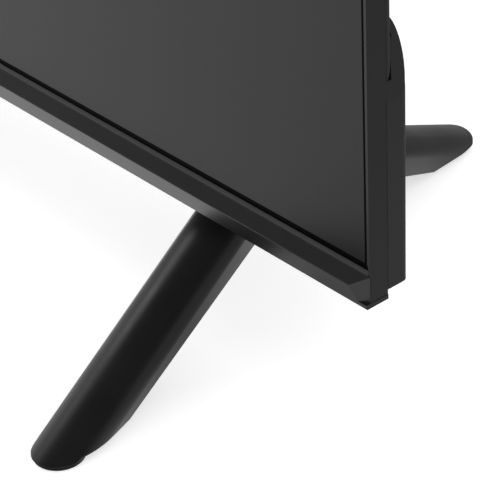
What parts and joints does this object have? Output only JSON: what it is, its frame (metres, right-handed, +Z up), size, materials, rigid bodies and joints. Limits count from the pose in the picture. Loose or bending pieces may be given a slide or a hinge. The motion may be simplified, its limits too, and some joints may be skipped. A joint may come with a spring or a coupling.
{
  "type": "flat screen television",
  "caption": "Flat screen television with a slim dark frame, a thin upper back, a thick lower rear housing and two A-shaped feet, for table or wall.",
  "frame": {"origin": "on the floor, midway between the two feet, and midway between their front and rear toes", "axes": "+X to the right of a viewer in front of the screen, +Y from the screen to the back, +Z up"},
  "size_m": [1.112, 0.2801, 0.7008],
  "materials": {
    "screen_glass": "semi-matt dark screen surface",
    "bezel": "fine matt, dark grey",
    "rail": "fine matt, dark grey",
    "back_plate": "powder coated black, fine texture",
    "housing": "moulded black plastic, fine grain",
    "foot": "moulded black plastic, satin",
    "pad": "matt rubber",
    "screw": "blackened steel",
    "bracket_steel": "zinc plated steel",
    "bush": "turned brass",
    "foam": "closed foam",
    "inner_plastic": "moulded black plastic",
    "optical_sheet": "white translucent sheet",
    "light_guide": "clear acrylic plate",
    "aluminium": "extruded, satin",
    "circuit_board": "green solder mask",
    "power_laminate": "tan laminate",
    "led": "yellow phosphor under clear resin",
    "flexible_film": "amber film",
    "component_black": "moulded black",
    "socket_plastic": "moulded black plastic",
    "socket_metal": "nickel plated steel",
    "dark_window": "smoked clear plastic",
    "key": "polished black plastic"
  },
  "bodies": {
    "set": {"lcd_panel": "screen_glass", "bottom_bezel": "bezel", "side_rail_left": "rail", "side_rail_right": "rail", "top_rail": "rail", "back_tray": "back_plate", "lower_rear_housing": "housing", "rear_screws": "screw", "foot_left": "foot", "foot_right": "foot", "foot_pads_left": "pad", "foot_pads_right": "pad", "foot_screws": "screw", "foot_bracket_left": "bracket_steel", "foot_bracket_right": "bracket_steel", "mount_channel_left": "bracket_steel", "mount_channel_right": "bracket_steel", "mount_bushes": "bush", "panel_gasket": "foam", "support_frame": "inner_plastic", "prism_sheet": "optical_sheet", "diffuser_sheet": "optical_sheet", "light_guide_plate": "light_guide", "reflector_sheet": "optical_sheet", "led_heat_spreader": "aluminium", "led_strip": "circuit_board", "led_chips": "led", "source_boards": "circuit_board", "panel_films": "flexible_film", "timing_board": "circuit_board", "flat_cable": "flexible_film", "power_board": "power_laminate", "power_transformers": "component_black", "power_capacitors": "component_black", "power_heat_sinks": "aluminium", "mains_inlet": "socket_plastic", "main_board": "circuit_board", "processor_heat_sink": "aluminium", "side_sockets": "socket_metal", "lower_sockets": "socket_metal", "wireless_module": "circuit_board", "board_standoffs": "bracket_steel", "board_screws": "screw", "speaker_box_left": "inner_plastic", "speaker_box_right": "inner_plastic", "speaker_drivers": "component_black", "speaker_mounts": "foam", "receiver_board": "circuit_board", "receiver_window": "dark_window", "button_holder": "inner_plastic", "button_board": "circuit_board", "tact_switch": "component_black"},
    "power_key": {"power_button": "key"}
  },
  "joints": [
    {"name": "power_key_press", "type": "slide", "parent": "set", "child": "power_key", "axis": [0, 0, 1], "range_m": [0, 0.0006], "stiffness_N_per_m": 600}
  ]
}
